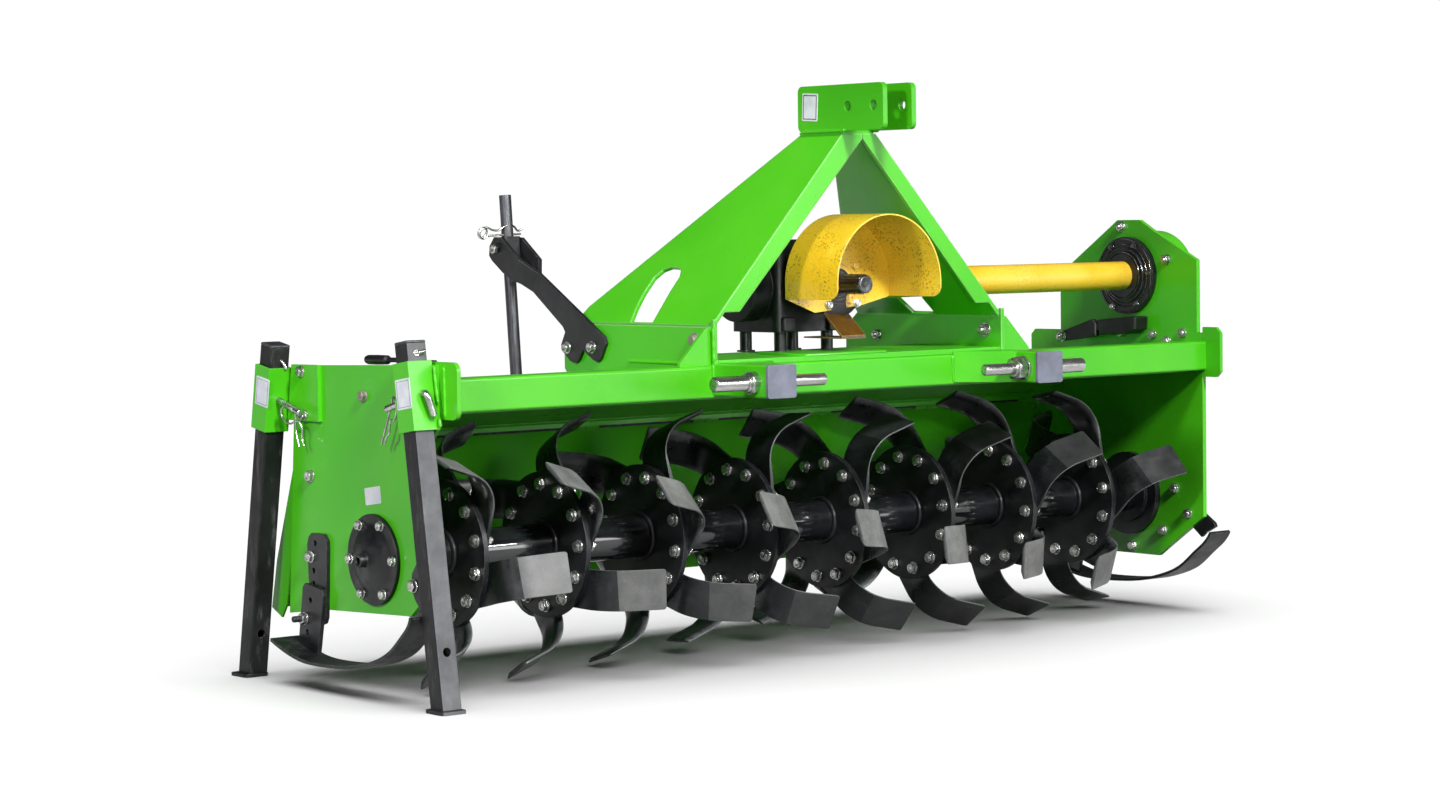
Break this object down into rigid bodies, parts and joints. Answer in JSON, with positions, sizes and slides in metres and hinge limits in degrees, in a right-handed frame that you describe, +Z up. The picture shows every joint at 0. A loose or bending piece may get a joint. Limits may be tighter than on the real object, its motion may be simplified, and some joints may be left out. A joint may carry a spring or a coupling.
{
  "type": "rotary tiller",
  "caption": "Tractor-mounted side-drive rotary tiller: hooded rotor with bolted L-blades, A-frame hitch mast, gearbox with guarded input shaft, skids and parking legs.",
  "frame": {"origin": "on the ground under the middle of the bounding box", "axes": "+X along the rotor towards the drive case (the machine's left seen in travel), -Y towards the tractor, +Z up"},
  "size_m": [2.073, 0.839, 1.095],
  "materials": {
    "green_paint": "gloss",
    "black_paint": "semi-gloss",
    "blade_steel": "satin",
    "yellow_paint": "gloss",
    "plated_pins": "zinc plated",
    "shaft_steel": "machined",
    "grey_caps": "matt",
    "black_caps": "matt"
  },
  "bodies": {
    "frame": {"front_beam": "green_paint", "rear_beam": "green_paint", "side_plate_right": "green_paint", "side_plate_left": "green_paint", "beam_end_plates": "green_paint", "drive_case_plate": "green_paint", "drive_case": "green_paint", "rotor_hood": "green_paint", "gearbox_deck": "green_paint", "mast_plate_right": "green_paint", "mast_plate_left": "green_paint", "mast_gussets": "green_paint", "top_link_plates": "green_paint", "top_link_base": "green_paint", "hitch_bracket_right": "green_paint", "hitch_bracket_left": "green_paint", "lower_link_pin_right": "plated_pins", "lower_link_pin_left": "plated_pins", "bracket_caps": "grey_caps", "gearbox_feet": "black_paint", "gearbox": "black_paint", "pto_guard": "yellow_paint", "guard_bracket": "yellow_paint", "cross_shaft_tube": "yellow_paint", "tube_flange": "black_paint", "bearing_cover_right": "black_paint", "bearing_housing_left": "black_paint", "skid_right": "black_paint", "skid_left": "black_paint", "skid_bars": "black_paint", "skid_straps": "black_paint", "rod_bracket": "black_paint", "leg_sleeve_front": "green_paint", "leg_sleeve_rear": "green_paint", "stand_pins": "plated_pins", "leg_mount_plate_rear": "green_paint"},
    "rotor": {"rotor_tube": "black_paint", "rotor_flanges": "black_paint", "blades_bent_left": "blade_steel", "blades_bent_right": "blade_steel"},
    "pto": {"pto_shaft": "shaft_steel"},
    "tailboard": {"tailboard": "green_paint", "tailboard_hinge_rod": "plated_pins", "tailboard_lug": "green_paint"},
    "rod_guide": {"rod_guide": "black_paint"},
    "tailboard_rod": {"tailboard_rod": "black_paint"},
    "front_leg": {"parking_leg_front": "black_paint", "parking_foot_front": "black_paint", "leg_cap_front": "black_caps"},
    "rear_leg": {"parking_leg_rear": "black_paint", "parking_foot_rear": "black_paint", "leg_cap_rear": "black_caps"}
  },
  "joints": [
    {"name": "rotor_spin", "type": "hinge", "parent": "frame", "child": "rotor", "pos_m": [-0.04, -0.038, 0.245], "axis": [1, 0, 0], "continuous": true},
    {"name": "pto_spin", "type": "hinge", "parent": "frame", "child": "pto", "pos_m": [-0.006, -0.188, 0.715], "axis": [0, 1, 0], "continuous": true},
    {"name": "tailboard_hinge", "type": "hinge", "parent": "frame", "child": "tailboard", "pos_m": [-0.04, 0.224, 0.441], "axis": [1, 0, 0], "range_deg": [0, 40]},
    {"name": "guide_swivel", "type": "hinge", "parent": "frame", "child": "rod_guide", "pos_m": [-0.376, 0.392, 0.794], "axis": [1, 0, 0], "range_deg": [0, 9]},
    {"name": "rod_slide", "type": "slide", "parent": "rod_guide", "child": "tailboard_rod", "axis": [0, 0.0775, 0.997], "range_m": [0, 0.12]},
    {"name": "front_leg_slide", "type": "slide", "parent": "frame", "child": "front_leg", "axis": [0, 0.1433, 0.9897], "range_m": [0, 0.46]},
    {"name": "rear_leg_slide", "type": "slide", "parent": "frame", "child": "rear_leg", "axis": [0, -0.1734, 0.9849], "range_m": [0, 0.45]}
  ],
  "couplings": [
    {"joint": "pto_spin", "follows": "rotor_spin", "ratio": -2.45},
    {"joint": "guide_swivel", "follows": "tailboard_hinge", "ratio": 0.2},
    {"joint": "rod_slide", "follows": "tailboard_hinge", "m_per_rad": 0.1629}
  ]
}
